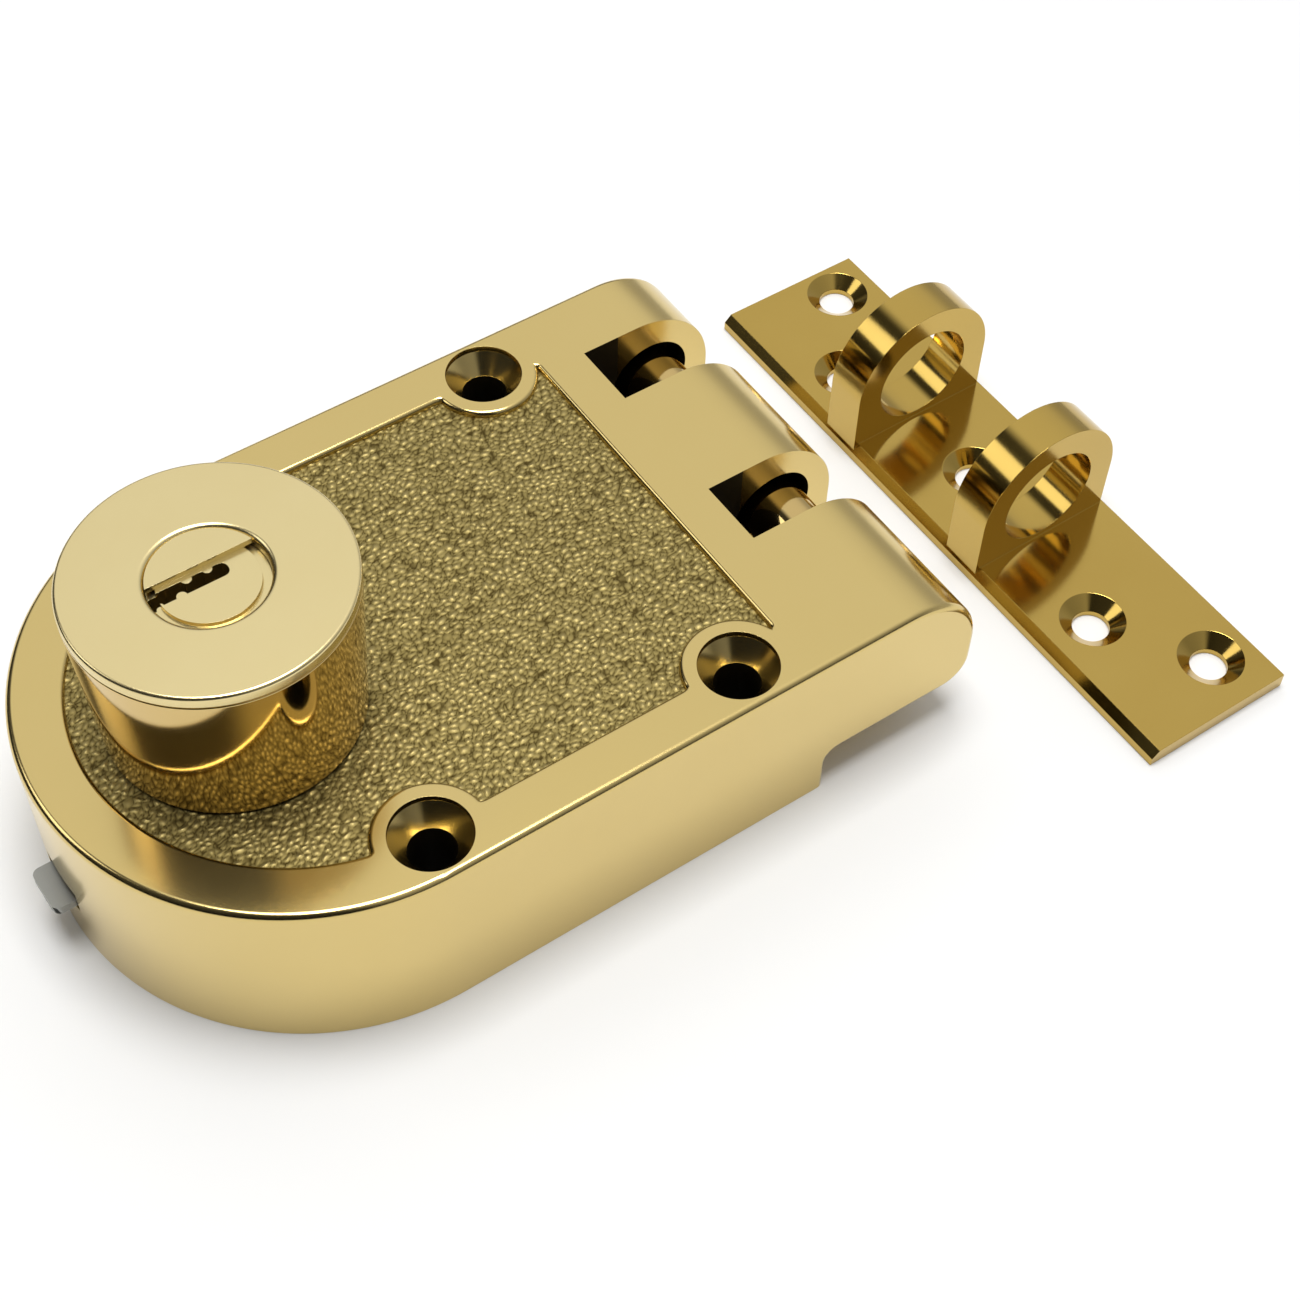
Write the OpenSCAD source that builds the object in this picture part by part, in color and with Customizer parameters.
// Surface deadlock: a die-cast case with three knuckles and two bolt pins, a keyed knob,
// and the flat two-ring strike that the pins run through.
// Origin: on the knob's axis, on the plane of the case's back. +X runs to the knuckles,
// +Z away from the door.

/* [Case] */
// Width of the case across the knuckles
case_width = 76; // [74:0.5:78]
// Height of the case above the door
case_height = 29.2; // [28.8:0.1:30]
// Distance from the knob's axis to the tip of the knuckles
nose_reach = 93.5; // [93:0.5:95]
// Distance from the knob's axis to the centre of the round end
round_offset = 10; // [9.5:0.1:10.5]
// Rounding along the top edge
edge_radius = 1; // [0.8:0.1:1.6]
// Depth of the grained panel's recess
panel_depth = 1; // [0.6:0.1:1.2]
// Width of the smooth border round the panel
panel_border = 7.5; // [7:0.1:8]

/* [Knuckles] */
// Width of each slot between the knuckles
slot_width = 10.6; // [10.2:0.1:10.8]
// Distance between the two slots' middles
slot_pitch = 31.1; // [31:0.1:31.2]
// Height of the knuckles' underside above the door
step_height = 7.6; // [7:0.1:8]
// Radius of the bore that the bolt pins run in
pin_bore_radius = 6.6; // [6.2:0.1:6.8]

/* [Bolt] */
// Radius of a bolt pin
pin_radius = 5; // [4.5:0.1:5.2]
// Height of the bolt pins' axis above the door
pin_height = 17.6; // [17.4:0.1:17.8]
// Travel of the bolt from thrown to drawn
bolt_stroke = 12.8; // [12.6:0.1:12.8]

/* [Knob] */
// Radius of the knob
knob_radius = 18.3; // [18:0.1:18.8]
// How much narrower the knob is at its base
knob_taper = 1.2; // [0:0.1:1.4]
// Height of the knob's face above the door
knob_top = 54.3; // [54:0.1:56]
// Radius of the key plug
plug_radius = 7.55; // [7.5:0.01:7.57]

/* [Strike] */
// Width of the strike plate
strike_width = 25.5; // [25:0.1:26]
// Length of the strike plate
strike_length = 104.3; // [103:0.1:106]
// Thickness of the strike plate
strike_thickness = 2.6; // [2.4:0.1:3.2]
// Distance from the knob's axis to the strike's near edge
strike_gap_x = 109.5; // [108:0.5:120]
// Thickness of each ring
ring_thickness = 6.8; // [6:0.1:7.5]
// Inner radius of each ring
ring_bore_radius = 8.1; // [7.8:0.1:8.4]
// Distance between the two rings' middles
ring_pitch = 30; // [29.5:0.1:31]

/* [Hidden] */
$fn = 72;
EPS = 0.01;
half_width = case_width / 2;
wall = 3;
roof_z = case_height - 3.8;
panel_z = case_height - panel_depth;
cavity_end = 65.7;
carriage_room_end = 68.4;
nose_radius = 13;
nose_lower_radius = 4.5;
step_x = 68.7;
step_fillet = 2;
slot_root = 71.3;
slot_mid = 5.95;
slot_ys = [slot_mid + slot_pitch / 2, slot_mid - slot_pitch / 2];
pin_x = 83;

// Fixing screws of the case
screw_near_x = 10.3;
screw_far_x = 57;
screw_y = 31.3;
screw_radius = 3.2;
screw_head_radius = 5.5;
post_radius = 6.6;
boss_lobe_radius = 7.8;
panel_end = 64.4;
panel_corner = 2.5;
panel_inner = half_width - panel_border;

// Mounting plate and its tongue
plate_bottom = 0.6;
plate_top = 2.6;
plate_gap = 0.4;
tail_hole_radius = 9;
tongue_half = 3.6;
tongue_top = 10.2;
tongue_sheet = 1.3;
tongue_tip = -30.8;
window_half = 4.2;
window_bottom = 8.2;
window_top = 12.4;
plate_screw_places = [[33, 29], [33, -29], [-13, 18.5], [-13, -18.5]];
plate_screw_radius = 1.5;
plate_boss_radius = 3.4;

// Bolt carriage, which the crank drives through a roller
carriage_thickness = 3.4;
carriage_bottom = pin_height - carriage_thickness / 2;
carriage_top = pin_height + carriage_thickness / 2;
crank_radius = bolt_stroke / 2 / sin(45);
crank_rest = 45;
fork_x = 5.8;
fork_mid = bolt_stroke / 2;
roller_radius = 4.2;
roller_play = 0.45;
web_low = -6.9;
web_high = 17.9;
bar_x = 64.3;
bar_end = 67.9;
arm_width = 2.8;
arm_eye_radius = 5.4;
tenon_radius = 2.4;
tenon_play = 0.05;
arm_lows = [10.6, 10.6 - slot_pitch];
pin_length = 18.2;
pin_chamfer = 0.7;
pocket_play = 0.6;
pocket_height = 5.4;
guide_xs = [28, 48];
guide_y = -0.9;
guide_radius = 2.6;
guide_play = 0.3;
guide_boss_bottom = carriage_top + 0.4;
guide_head_radius = 4.8;
guide_head_height = 1.8;
guide_thread_radius = 1.8;
detent_x = 38;
detent_y = -1.5;
detent_radius = 2.4;
detent_bore = 2.6;
detent_roof = 26.9;
detent_lift = 0.05;
dimple_depth = 0.6;
detent_boss_radius = 4.2;
detent_boss_bottom = 21.3;

// Spindle, bush and crank
spindle_radius = 6;
bush_inner = 6.05;
bush_radius = 7.2;
bush_flange_radius = 9.2;
bush_flange = 1;
crank_top = roof_z - bush_flange - 0.2;
crank_thickness = 3;
crank_bottom = crank_top - crank_thickness;
square_size = 8.4;
clip_thickness = 0.8;
clip_top = crank_bottom - 0.2;
clip_radius = 6.4;
groove_radius = 3.9;
spindle_end = clip_top - clip_thickness - 0.6;
spindle_stub_radius = 4.2;
crank_pin_radius = 2.2;
crank_hub_radius = 9;
crank_boss_radius = 4.6;
roller_bottom = carriage_bottom - 0.1;
roller_top = carriage_top + 0.5;
tail_slot_width = 2.6;
tail_slot_depth = 6;

// Knob and lock cylinder
knob_base = panel_z + 0.5;
knob_floor = 2.5;
knob_floor_top = knob_base + knob_floor;
knob_chamfer = 0.6;
face_sheet = 1.7;
face_joint = 0.15;
face_bottom = knob_top - face_sheet;
spigot_depth = 1.7;
knob_bore = 15.3;
barrel_radius = 15.2;
shoulder_radius = 14;
barrel_bottom = 34.4;
barrel_top = face_bottom - 3;
ring_groove_radius = 16;
ring_inner = 13.4;
ring_height = 1;
flange_radius = 12.8;
flange_sheet = 1.5;
flange_top = knob_floor_top + flange_sheet;
knob_screw_count = 3;
knob_screw_circle = 9.6;
knob_screw_radius = 1.4;
knob_screw_head = 2.3;
knob_screw_head_height = 1.2;
plug_bore = plug_radius + 0.06;
plug_top = knob_top - 0.15;
plug_bottom = 36.3;
plug_tail_radius = 3.2;
plug_tail_end = 33.4;
cam_room_radius = 9.8;
cam_top = plug_bottom - 0.1;
cam_sheet = 1.4;
cam_reach = 9;
cam_width = 6;
plug_clip_top = cam_top - cam_sheet - 0.1;
plug_clip_sheet = 0.7;
plug_clip_radius = 5.3;
keyway_half = 1.05;
keyway_mid = 0.7;
keyway_end = 3;
keyway_floor = 37.2;
step_y = 2.3;
step_depth = 0.9;
// Each ward of the keyway: its x, its side and its radius
wards = [[-6.6, -1, 0.5], [-3.7, -1, 0.7], [-2.1, 1, 0.7], [0.7, 1, 0.65]];
pin_rows = [39.6, 42.4, 45.2, 48];
tumbler_radius = 1.25;
tumbler_bore = 1.35;
key_pin_low = 2;
key_pin_high = 7.4;
driver_low = 7.75;
driver_high = 10.2;
spring_high = 14.7;

// Strike
strike_x = strike_gap_x;
strike_mid_y = -9.15;
ring_x = strike_x + strike_width / 2;
ring_outer = 12.4;
ring_z = 11.6;
ring_mid_y = -2.75;
strike_edge = 1.2;
strike_screw_radius = 2.8;
strike_head_radius = 5;
strike_straight = 0.9;
strike_hole_mid_y = -7.9;
outer_hole_x = 128.2;
outer_hole_pitch = 90.2;
inner_hole_x = 118.4;
inner_hole_pitch = 60.2;
middle_hole = [122.4, -5.6];

// ---- shared shapes ----

// A round bar along Y from y0 to y1
module bar_y(x, z, radius, y0, y1) {
    translate([x, y0, z])
        rotate([-90, 0, 0])
            cylinder(r = radius, h = y1 - y0);
}

// A round bar along Z from z0 to z1
module bar_z(place, radius, z0, z1) {
    translate([place[0], place[1], z0])
        cylinder(r = radius, h = z1 - z0);
}

// A flat ring about the knob's axis
module ring_z(outer, inner, z0, z1) {
    difference() {
        bar_z([0, 0], outer, z0, z1);
        bar_z([0, 0], inner, z0 - 1, z1 + 1);
    }
}

// The four places of the case's fixing screws
module at_screws() {
    for (x = [screw_near_x, screw_far_x])
        for (side = [1, -1])
            translate([x, side * screw_y, 0])
                children();
}

// A ring of corners for one cross-section of a coil spring's wire
function coil_ring(turn, radius, wire, rise, sides) = [
    for (k = [0 : sides - 1])
        let (out = radius + wire * cos(360 * k / sides))
        [out * cos(360 * turn), out * sin(360 * turn),
            turn * rise + wire * (1 + sin(360 * k / sides))]
];

// A coil spring that stands on z = 0
module coil(radius, wire, length, turns) {
    sides = 6;
    steps = 10;
    rings = turns * steps;
    rise = (length - 2 * wire) / turns;
    points = [
        for (i = [0 : rings])
            each coil_ring(i / steps, radius, wire, rise, sides)
    ];
    skin = [
        for (i = [0 : rings - 1])
            for (k = [0 : sides - 1])
                let (a = i * sides + k, b = i * sides + (k + 1) % sides)
                each [[a, a + sides, b], [b, a + sides, b + sides]]
    ];
    first_cap = [for (k = [1 : sides - 2]) [0, k, k + 1]];
    base = rings * sides;
    last_cap = [for (k = [1 : sides - 2]) [base, base + k + 1, base + k]];
    polyhedron(points = points, faces = concat(skin, first_cap, last_cap));
}

// ---- case ----

// Half cross-section of the case's round end, with the rounded top edge
module shell_profile(radius, height, rounding) {
    square([radius, height - rounding]);
    square([radius - rounding, height]);
    translate([radius - rounding, height - rounding])
        circle(r = rounding);
}

// Side outline of the case: flat roof, round nose and the step underneath
module side_outline() {
    fillet_end = step_x + step_fillet;
    lower_x = nose_reach - nose_lower_radius;
    nose_x = nose_reach - nose_radius;
    nose_z = case_height - nose_radius;
    lower_z = step_height + nose_lower_radius;
    difference() {
        union() {
            translate([-half_width, 0])
                square([half_width + nose_x, case_height]);
            translate([nose_x, nose_z])
                circle(r = nose_radius);
            translate([nose_x - EPS, 0])
                square([lower_x - nose_x + EPS, nose_z]);
            translate([nose_x, lower_z])
                square([nose_radius, nose_z - lower_z]);
            translate([lower_x, lower_z])
                circle(r = nose_lower_radius);
        }
        translate([fillet_end, -1])
            square([nose_reach, step_height + 1]);
        translate([step_x, -1])
            square([step_fillet + EPS, step_height - step_fillet + 1]);
        translate([fillet_end, step_height - step_fillet])
            circle(r = step_fillet);
    }
}

// The case before anything is taken out of it
module case_blank() {
    intersection() {
        union() {
            translate([round_offset, 0, 0])
                rotate_extrude()
                    shell_profile(half_width, case_height, edge_radius);
            translate([round_offset, 0, 0])
                rotate([90, 0, 90])
                    linear_extrude(height = nose_reach - round_offset + 1)
                        union() {
                            shell_profile(half_width, case_height, edge_radius);
                            mirror([1, 0])
                                shell_profile(half_width, case_height, edge_radius);
                        }
        }
        translate([0, half_width + 1, 0])
            rotate([90, 0, 0])
                linear_extrude(height = case_width + 2)
                    side_outline();
    }
}

// Outline of a round-ended space that follows the case, drawn in by inset
module case_outline(inset, end_x) {
    translate([round_offset, 0])
        circle(r = half_width - inset);
    translate([round_offset, inset - half_width])
        square([end_x - round_offset, case_width - 2 * inset]);
}

// Outline of the grained panel: a round end, square corners and lobes round the screws
module panel_outline() {
    difference() {
        union() {
            translate([round_offset, 0])
                circle(r = panel_inner);
            translate([round_offset, -panel_inner])
                square([panel_end - panel_corner - round_offset, 2 * panel_inner]);
            translate([round_offset, panel_corner - panel_inner])
                square([panel_end - round_offset, 2 * (panel_inner - panel_corner)]);
            for (side = [1, -1])
                translate([panel_end - panel_corner, side * (panel_inner - panel_corner)])
                    circle(r = panel_corner);
        }
        for (x = [screw_near_x, screw_far_x])
            for (side = [1, -1])
                translate([x, side * screw_y])
                    circle(r = boss_lobe_radius);
    }
}

// The hollow of the case, with the posts and bosses left standing in it
module case_hollow() {
    difference() {
        union() {
            translate([0, 0, -1])
                linear_extrude(height = roof_z + 1)
                    case_outline(wall, cavity_end);
            translate([cavity_end - 1, wall - half_width, carriage_bottom - 2.2])
                cube([carriage_room_end - cavity_end + 1, case_width - 2 * wall, 7.8]);
        }
        translate([0, 0, plate_top])
            at_screws()
                cylinder(r = post_radius, h = case_height);
        for (place = plate_screw_places)
            bar_z(place, plate_boss_radius, plate_top, case_height);
        for (x = guide_xs)
            bar_z([x, guide_y], guide_head_radius, guide_boss_bottom, case_height);
        bar_z([detent_x, detent_y], detent_boss_radius, detent_boss_bottom, case_height);
    }
}

// One slot between two knuckles
module slot(mid_y) {
    translate([slot_root, mid_y - slot_width / 2, -1])
        cube([nose_reach, slot_width, case_height + 2]);
}

// The pocket that one arm of the carriage moves in
module arm_pocket(arm_low) {
    translate([carriage_room_end - 1, arm_low - bolt_stroke - pocket_play,
            pin_height - pocket_height / 2])
        cube([pin_x - carriage_room_end + 1, bolt_stroke + arm_width + 2 * pocket_play,
            pocket_height]);
}

// One countersunk hole for a fixing screw
module screw_hole() {
    translate([0, 0, -1])
        cylinder(r = screw_radius, h = case_height + 2);
    translate([0, 0, case_height - 0.9])
        cylinder(r = screw_head_radius, h = 2);
    translate([0, 0, case_height - 3.7])
        cylinder(r1 = screw_radius, r2 = screw_head_radius, h = 2.8);
}

module case() {
    color("darkkhaki")
        difference() {
            case_blank();
            case_hollow();
            translate([0, 0, panel_z])
                linear_extrude(height = 5)
                    panel_outline();
            at_screws()
                screw_hole();
            for (y = slot_ys)
                slot(y);
            bar_y(pin_x, pin_height, pin_bore_radius, wall - half_width, half_width - 6.5);
            for (low = arm_lows)
                arm_pocket(low);
            bar_z([0, 0], bush_radius, roof_z - 5, case_height + 1);
            for (place = plate_screw_places)
                bar_z(place, plate_screw_radius, 0, 12);
            for (x = guide_xs)
                bar_z([x, guide_y], guide_thread_radius, guide_boss_bottom - 1, roof_z);
            bar_z([detent_x, detent_y], detent_bore, detent_boss_bottom - 1, detent_roof);
            translate([-half_width, -window_half, window_bottom])
                cube([half_width - 20, 2 * window_half, window_top - window_bottom]);
        }
}

// ---- back ----

module mounting_plate() {
    color("silver")
        difference() {
            union() {
                translate([0, 0, plate_bottom])
                    linear_extrude(height = plate_top - plate_bottom)
                        case_outline(wall + plate_gap, cavity_end - plate_gap);
                translate([-24, -tongue_half, plate_bottom])
                    cube([tongue_sheet, 2 * tongue_half, tongue_top - plate_bottom]);
                translate([tongue_tip, -tongue_half, tongue_top - tongue_sheet])
                    cube([-24 - tongue_tip + EPS, 2 * tongue_half, tongue_sheet]);
            }
            bar_z([0, 0], tail_hole_radius, -1, plate_top + 1);
            at_screws()
                translate([0, 0, -1])
                    cylinder(r = screw_radius, h = 5);
            for (place = plate_screw_places)
                translate([place[0], place[1], plate_bottom]) {
                    translate([0, 0, -1])
                        cylinder(r = plate_screw_radius + 0.1, h = 5);
                    translate([0, 0, -EPS])
                        cylinder(r1 = 3.1, r2 = plate_screw_radius + 0.1, h = 1.4);
                }
        }
}

module plate_screws() {
    color("gray")
        for (place = plate_screw_places)
            translate([place[0], place[1], plate_bottom]) {
                cylinder(r = plate_screw_radius, h = 9.5);
                cylinder(r1 = 3, r2 = plate_screw_radius, h = 1.4);
            }
}

// ---- bush, washer, guides and detent ----

module spindle_bush() {
    color("goldenrod") {
        ring_z(bush_radius, bush_inner, roof_z, panel_z);
        ring_z(bush_flange_radius, bush_inner, roof_z - bush_flange, roof_z);
    }
}

module thrust_washer() {
    color("white")
        ring_z(12, spindle_radius + 0.4, panel_z, knob_base - 0.1);
}

module guide_screws() {
    color("gray")
        for (x = guide_xs) {
            bar_z([x, guide_y], guide_radius, carriage_bottom - 0.4, guide_boss_bottom);
            bar_z([x, guide_y], guide_thread_radius, guide_boss_bottom - EPS, roof_z - 0.4);
            bar_z([x, guide_y], guide_head_radius,
                carriage_bottom - 0.4 - guide_head_height, carriage_bottom - 0.4);
        }
}

module detent_ball() {
    color("silver")
        translate([detent_x, detent_y, carriage_top + detent_lift + detent_radius])
            sphere(r = detent_radius);
}

module detent_spring() {
    color("silver")
        translate([detent_x, detent_y, carriage_top + detent_lift + 2 * detent_radius])
            coil(1.9, 0.25, detent_roof - carriage_top - detent_lift - 2 * detent_radius, 3);
}

// ---- knob ----

module knob_shell() {
    color("gold")
        difference() {
            translate([0, 0, knob_base])
                cylinder(r1 = knob_radius - knob_taper, r2 = knob_radius,
                    h = face_bottom - face_joint - knob_base);
            bar_z([0, 0], knob_bore, barrel_bottom, knob_top);
            bar_z([0, 0], shoulder_radius, knob_floor_top, knob_top);
            bar_z([0, 0], spindle_radius + 0.05, knob_base - 1, knob_top);
            bar_z([0, 0], ring_groove_radius, barrel_top, barrel_top + ring_height + 0.1);
            for (i = [1 : knob_screw_count])
                rotate([0, 0, 360 * i / knob_screw_count])
                    bar_z([knob_screw_circle, 0], knob_screw_radius, knob_base + 0.6, knob_top);
        }
}

module knob_face() {
    color("khaki")
        difference() {
            union() {
                bar_z([0, 0], knob_radius, face_bottom, knob_top - knob_chamfer);
                translate([0, 0, knob_top - knob_chamfer])
                    cylinder(r1 = knob_radius, r2 = knob_radius - knob_chamfer, h = knob_chamfer);
                bar_z([0, 0], knob_bore - 0.05, face_bottom - spigot_depth, face_bottom);
            }
            bar_z([0, 0], plug_bore, barrel_top, knob_top + 1);
        }
}

module retaining_ring() {
    color("silver")
        ring_z(ring_groove_radius - 0.2, ring_inner, barrel_top + 0.05, barrel_top + ring_height);
}

module cylinder_barrel() {
    color("goldenrod")
        difference() {
            bar_z([0, 0], barrel_radius, barrel_bottom, barrel_top);
            bar_z([0, 0], plug_bore, barrel_bottom - 1, barrel_top + 1);
            bar_z([0, 0], cam_room_radius, barrel_bottom - 1, plug_bottom);
            for (z = pin_rows)
                bar_y(0, z, tumbler_bore, 0, barrel_radius + 1);
        }
}

module driver_pins() {
    color("silver")
        for (z = pin_rows)
            bar_y(0, z, tumbler_radius, driver_low, driver_high);
}

module pin_springs() {
    color("silver")
        for (z = pin_rows)
            translate([0, driver_high, z])
                rotate([-90, 0, 0])
                    coil(0.95, 0.16, spring_high - driver_high, 5);
}

module knob_screws() {
    color("gray")
        for (i = [1 : knob_screw_count])
            rotate([0, 0, 360 * i / knob_screw_count]) {
                bar_z([knob_screw_circle, 0], knob_screw_radius, knob_base + 0.7, flange_top);
                bar_z([knob_screw_circle, 0], knob_screw_head, flange_top,
                    flange_top + knob_screw_head_height);
            }
}

// ---- spindle and crank ----

module spindle() {
    color("silver")
        difference() {
            union() {
                bar_z([0, 0], flange_radius, knob_floor_top, flange_top);
                bar_z([0, 0], spindle_radius, crank_top, flange_top);
                translate([-square_size / 2, -square_size / 2, crank_bottom])
                    cube([square_size, square_size, crank_thickness + 1]);
                bar_z([0, 0], spindle_stub_radius, spindle_end, crank_bottom + EPS);
            }
            difference() {
                bar_z([0, 0], 9, clip_top - clip_thickness, clip_top);
                bar_z([0, 0], groove_radius, spindle_end, crank_bottom);
            }
            translate([-9, -tail_slot_width / 2, spindle_end - 1])
                cube([18, tail_slot_width, 1 + crank_bottom - spindle_end - EPS]);
            translate([-spindle_stub_radius + 0.4, -tail_slot_width / 2, spindle_end - 1])
                cube([2 * spindle_stub_radius - 0.8, tail_slot_width, tail_slot_depth]);
            for (i = [1 : knob_screw_count])
                rotate([0, 0, 360 * i / knob_screw_count])
                    bar_z([knob_screw_circle, 0], knob_screw_radius + 0.05, knob_floor_top - 1,
                        flange_top + 1);
        }
}

module crank() {
    color("dimgray")
        rotate([0, 0, crank_rest])
            translate([0, 0, crank_bottom])
                difference() {
                    linear_extrude(height = crank_thickness)
                        union() {
                            circle(r = crank_hub_radius);
                            translate([crank_radius, 0])
                                circle(r = crank_boss_radius);
                            translate([0, -crank_boss_radius])
                                square([crank_radius, 2 * crank_boss_radius]);
                        }
                    rotate([0, 0, -crank_rest])
                        translate([-square_size / 2 - 0.05, -square_size / 2 - 0.05, -1])
                            cube([square_size + 0.1, square_size + 0.1, crank_thickness + 2]);
                    bar_z([crank_radius, 0], crank_pin_radius, -1, crank_thickness + 1);
                }
}

module crank_pin() {
    color("silver")
        rotate([0, 0, crank_rest])
            bar_z([crank_radius, 0], crank_pin_radius, roller_bottom - 0.5, crank_top);
}

module crank_roller() {
    color("goldenrod")
        rotate([0, 0, crank_rest])
            difference() {
                bar_z([crank_radius, 0], roller_radius, roller_bottom, roller_top);
                bar_z([crank_radius, 0], crank_pin_radius + 0.05, roller_bottom - 1,
                    roller_top + 1);
            }
}

module crank_clip() {
    color("silver")
        ring_z(clip_radius, groove_radius + 0.05, clip_top - clip_thickness + 0.05,
            clip_top - 0.05);
}

// ---- key plug ----

module plug() {
    color("khaki")
        difference() {
            union() {
                bar_z([0, 0], plug_radius, plug_bottom, plug_top);
                bar_z([0, 0], plug_tail_radius, plug_tail_end, plug_bottom + EPS);
            }
            difference() {
                translate([-plug_radius - 1, keyway_mid - keyway_half, keyway_floor])
                    cube([plug_radius + 1 + keyway_end, 2 * keyway_half, knob_top]);
                for (ward = wards)
                    bar_z([ward[0], keyway_mid + ward[1] * keyway_half], ward[2],
                        keyway_floor - 1, knob_top);
            }
            translate([-plug_radius - 1, -plug_radius - 1, plug_top - step_depth])
                cube([2 * plug_radius + 2, plug_radius + 1 + step_y, step_depth + 1]);
            for (z = pin_rows)
                bar_y(0, z, tumbler_bore, 0.5, plug_radius + 1);
        }
}

module key_pins() {
    color("silver")
        for (z = pin_rows)
            bar_y(0, z, tumbler_radius, key_pin_low, key_pin_high);
}

module lock_cam() {
    color("dimgray")
        translate([0, 0, cam_top - cam_sheet])
            difference() {
                union() {
                    cylinder(r = cam_width, h = cam_sheet);
                    intersection() {
                        translate([0, -cam_width / 2, 0])
                            cube([cam_reach, cam_width, cam_sheet]);
                        cylinder(r = cam_reach, h = cam_sheet);
                    }
                }
                translate([0, 0, -1])
                    cylinder(r = plug_tail_radius + 0.05, h = cam_sheet + 2);
            }
}

module plug_clip() {
    color("silver")
        ring_z(plug_clip_radius, plug_tail_radius + 0.02, plug_clip_top - plug_clip_sheet,
            plug_clip_top);
}

// ---- bolt ----

// One arm of the carriage, with the round eye that holds a pin
module carriage_arm(arm_low) {
    translate([bar_x, arm_low, carriage_bottom])
        cube([pin_x - bar_x, arm_width, carriage_thickness]);
    bar_y(pin_x, pin_height, arm_eye_radius, arm_low, arm_low + arm_width);
}

module bolt_carriage() {
    color("dimgray")
        difference() {
            union() {
                translate([fork_x, web_low, carriage_bottom])
                    cube([bar_x - fork_x + EPS, web_high - web_low, carriage_thickness]);
                translate([bar_x, arm_lows[1], carriage_bottom])
                    cube([bar_end - bar_x, arm_lows[0] + arm_width - arm_lows[1],
                        carriage_thickness]);
                for (low = arm_lows)
                    carriage_arm(low);
            }
            translate([0, fork_mid - roller_radius - roller_play, 0])
                cube([crank_radius + roller_radius + 0.8, 2 * (roller_radius + roller_play),
                    case_height]);
            for (x = guide_xs) {
                for (shift = [0, bolt_stroke])
                    bar_z([x, guide_y + shift], guide_radius + guide_play, 0, case_height);
                translate([x - guide_radius - guide_play, guide_y, 0])
                    cube([2 * (guide_radius + guide_play), bolt_stroke, case_height]);
            }
            for (shift = [0, bolt_stroke])
                translate([detent_x, detent_y + shift, carriage_top - dimple_depth])
                    cylinder(r1 = 0.4, r2 = 1.6, h = dimple_depth + EPS);
            for (low = arm_lows)
                bar_y(pin_x, pin_height, tenon_radius + tenon_play, low - 1,
                    low + arm_width + 1);
        }
}

// A bolt pin with its tenon in the arm's eye and a chamfered tip
module bolt_pin(arm_low) {
    shoulder = arm_low + arm_width;
    tip = arm_low + pin_length;
    bar_y(pin_x, pin_height, tenon_radius, arm_low, shoulder + EPS);
    bar_y(pin_x, pin_height, pin_radius, shoulder, tip - pin_chamfer);
    translate([pin_x, tip - pin_chamfer, pin_height])
        rotate([-90, 0, 0])
            cylinder(r1 = pin_radius, r2 = pin_radius - pin_chamfer, h = pin_chamfer);
}

module bolt_pin_upper() {
    color("gold")
        bolt_pin(arm_lows[0]);
}

module bolt_pin_lower() {
    color("gold")
        bolt_pin(arm_lows[1]);
}

// ---- strike ----

// Side outline of one ring of the strike, standing on the plate
module ring_outline() {
    difference() {
        union() {
            translate([0, ring_z])
                circle(r = ring_outer);
            translate([-ring_outer, strike_thickness - EPS])
                square([2 * ring_outer, ring_z - strike_thickness]);
        }
        translate([0, ring_z])
            circle(r = ring_bore_radius);
        translate([-ring_outer - 1, -ring_outer])
            square([2 * ring_outer + 2, ring_outer + strike_thickness - EPS]);
    }
}

// A countersunk screw hole through the strike plate
module strike_hole(x, y) {
    translate([x, y, -1])
        cylinder(r = strike_screw_radius, h = strike_thickness + 2);
    translate([x, y, strike_straight])
        cylinder(r1 = strike_screw_radius, r2 = strike_head_radius,
            h = strike_thickness - strike_straight + EPS);
}

module strike() {
    color("gold")
        difference() {
            union() {
                translate([0, strike_mid_y + strike_length / 2, 0])
                    rotate([90, 0, 0])
                        linear_extrude(height = strike_length)
                            polygon([
                                [strike_x, 0],
                                [strike_x + strike_width, 0],
                                [strike_x + strike_width, strike_thickness],
                                [strike_x + strike_edge, strike_thickness],
                                [strike_x, strike_thickness - strike_edge]
                            ]);
                for (side = [1, -1])
                    translate([ring_x, ring_mid_y + side * ring_pitch / 2 + ring_thickness / 2, 0])
                        rotate([90, 0, 0])
                            linear_extrude(height = ring_thickness)
                                ring_outline();
            }
            for (side = [1, -1]) {
                strike_hole(outer_hole_x, strike_hole_mid_y + side * outer_hole_pitch / 2);
                strike_hole(inner_hole_x, strike_hole_mid_y + side * inner_hole_pitch / 2);
            }
            strike_hole(middle_hole[0], middle_hole[1]);
        }
}

case();
mounting_plate();
plate_screws();
spindle_bush();
thrust_washer();
guide_screws();
detent_ball();
detent_spring();
knob_shell();
knob_face();
retaining_ring();
cylinder_barrel();
driver_pins();
pin_springs();
spindle();
knob_screws();
crank();
crank_pin();
crank_roller();
crank_clip();
plug();
key_pins();
lock_cam();
plug_clip();
bolt_carriage();
bolt_pin_upper();
bolt_pin_lower();
strike();
